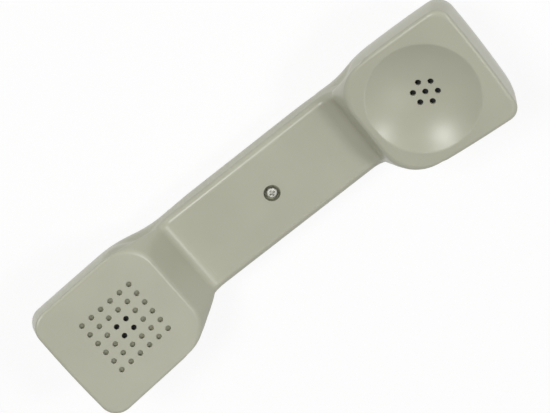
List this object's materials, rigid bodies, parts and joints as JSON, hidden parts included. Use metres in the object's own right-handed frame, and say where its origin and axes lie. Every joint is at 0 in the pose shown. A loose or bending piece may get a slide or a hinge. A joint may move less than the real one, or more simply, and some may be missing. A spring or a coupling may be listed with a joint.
{
  "type": "telephone handset",
  "caption": "Corded telephone handset with a flat handle between a dished ear head and a square mouth head with a hole grid, and a modular cord socket in its end.",
  "frame": {"origin": "middle of the flat rest on the handle's back, under the assembly screw", "axes": "+X along the handset to the ear head, -X to the mouth head, +Z to the side with the ear dish and the mouth grille, +Y across"},
  "size_m": [0.218, 0.0566, 0.051],
  "materials": {
    "case_plastic": "satin greenish-grey moulded plastic",
    "screw_steel": "zinc-plated steel",
    "brass": "turned brass",
    "plated_steel": "plated steel",
    "film": "thin polymer film",
    "copper": "enamelled copper winding",
    "magnet": "sintered magnet",
    "black_plastic": "moulded black plastic",
    "laminate": "paper laminate",
    "tin": "tinned brass",
    "bead": "lacquered bead",
    "rubber": "moulded rubber",
    "cloth": "woven dust cloth",
    "foam": "open-cell foam",
    "aluminium": "drawn aluminium",
    "gold": "gold-plated spring wire",
    "ballast_steel": "black-oxide steel bar",
    "wire_red": "wire jacket",
    "wire_green": "wire jacket",
    "wire_black": "wire jacket",
    "wire_yellow": "wire jacket"
  },
  "bodies": {
    "case": {"front_shell": "case_plastic", "back_shell": "case_plastic", "assembly_screw": "screw_steel", "threaded_insert": "brass", "receiver_cap": "plated_steel", "receiver_surround": "film", "receiver_pole_plate": "plated_steel", "receiver_magnet": "magnet", "receiver_yoke": "plated_steel", "receiver_basket": "black_plastic", "receiver_terminal_board": "laminate", "receiver_terminals": "tin", "receiver_varistor": "bead", "receiver_gasket": "rubber", "receiver_dust_cloth": "cloth", "receiver_foam_ring": "foam", "microphone_boot": "rubber", "microphone_can": "aluminium", "microphone_board": "laminate", "microphone_dust_cloth": "cloth", "microphone_foam_block": "foam", "jack_body": "black_plastic", "jack_contact_carrier": "black_plastic", "jack_contact_legs": "gold", "ballast_bar": "ballast_steel", "ballast_pads": "rubber", "receiver_wire_red": "wire_red", "receiver_wire_green": "wire_green", "microphone_wire_black": "wire_black", "microphone_wire_yellow": "wire_yellow"},
    "diaphragm": {"receiver_diaphragm": "film", "receiver_voice_coil": "copper"},
    "contacts": {"jack_contact_springs": "gold"}
  },
  "joints": [
    {"name": "diaphragm_stroke", "type": "slide", "parent": "case", "child": "diaphragm", "axis": [-0.2113, 0, 0.9774], "range_m": [-0.00025, 0.00025], "stiffness_N_per_m": 800},
    {"name": "contact_spring", "type": "hinge", "parent": "case", "child": "contacts", "pos_m": [-0.10761, 0, 0.03395], "axis": [0, -1, 0], "range_deg": [0, 8], "stiffness_Nm_per_rad": 0.1}
  ]
}
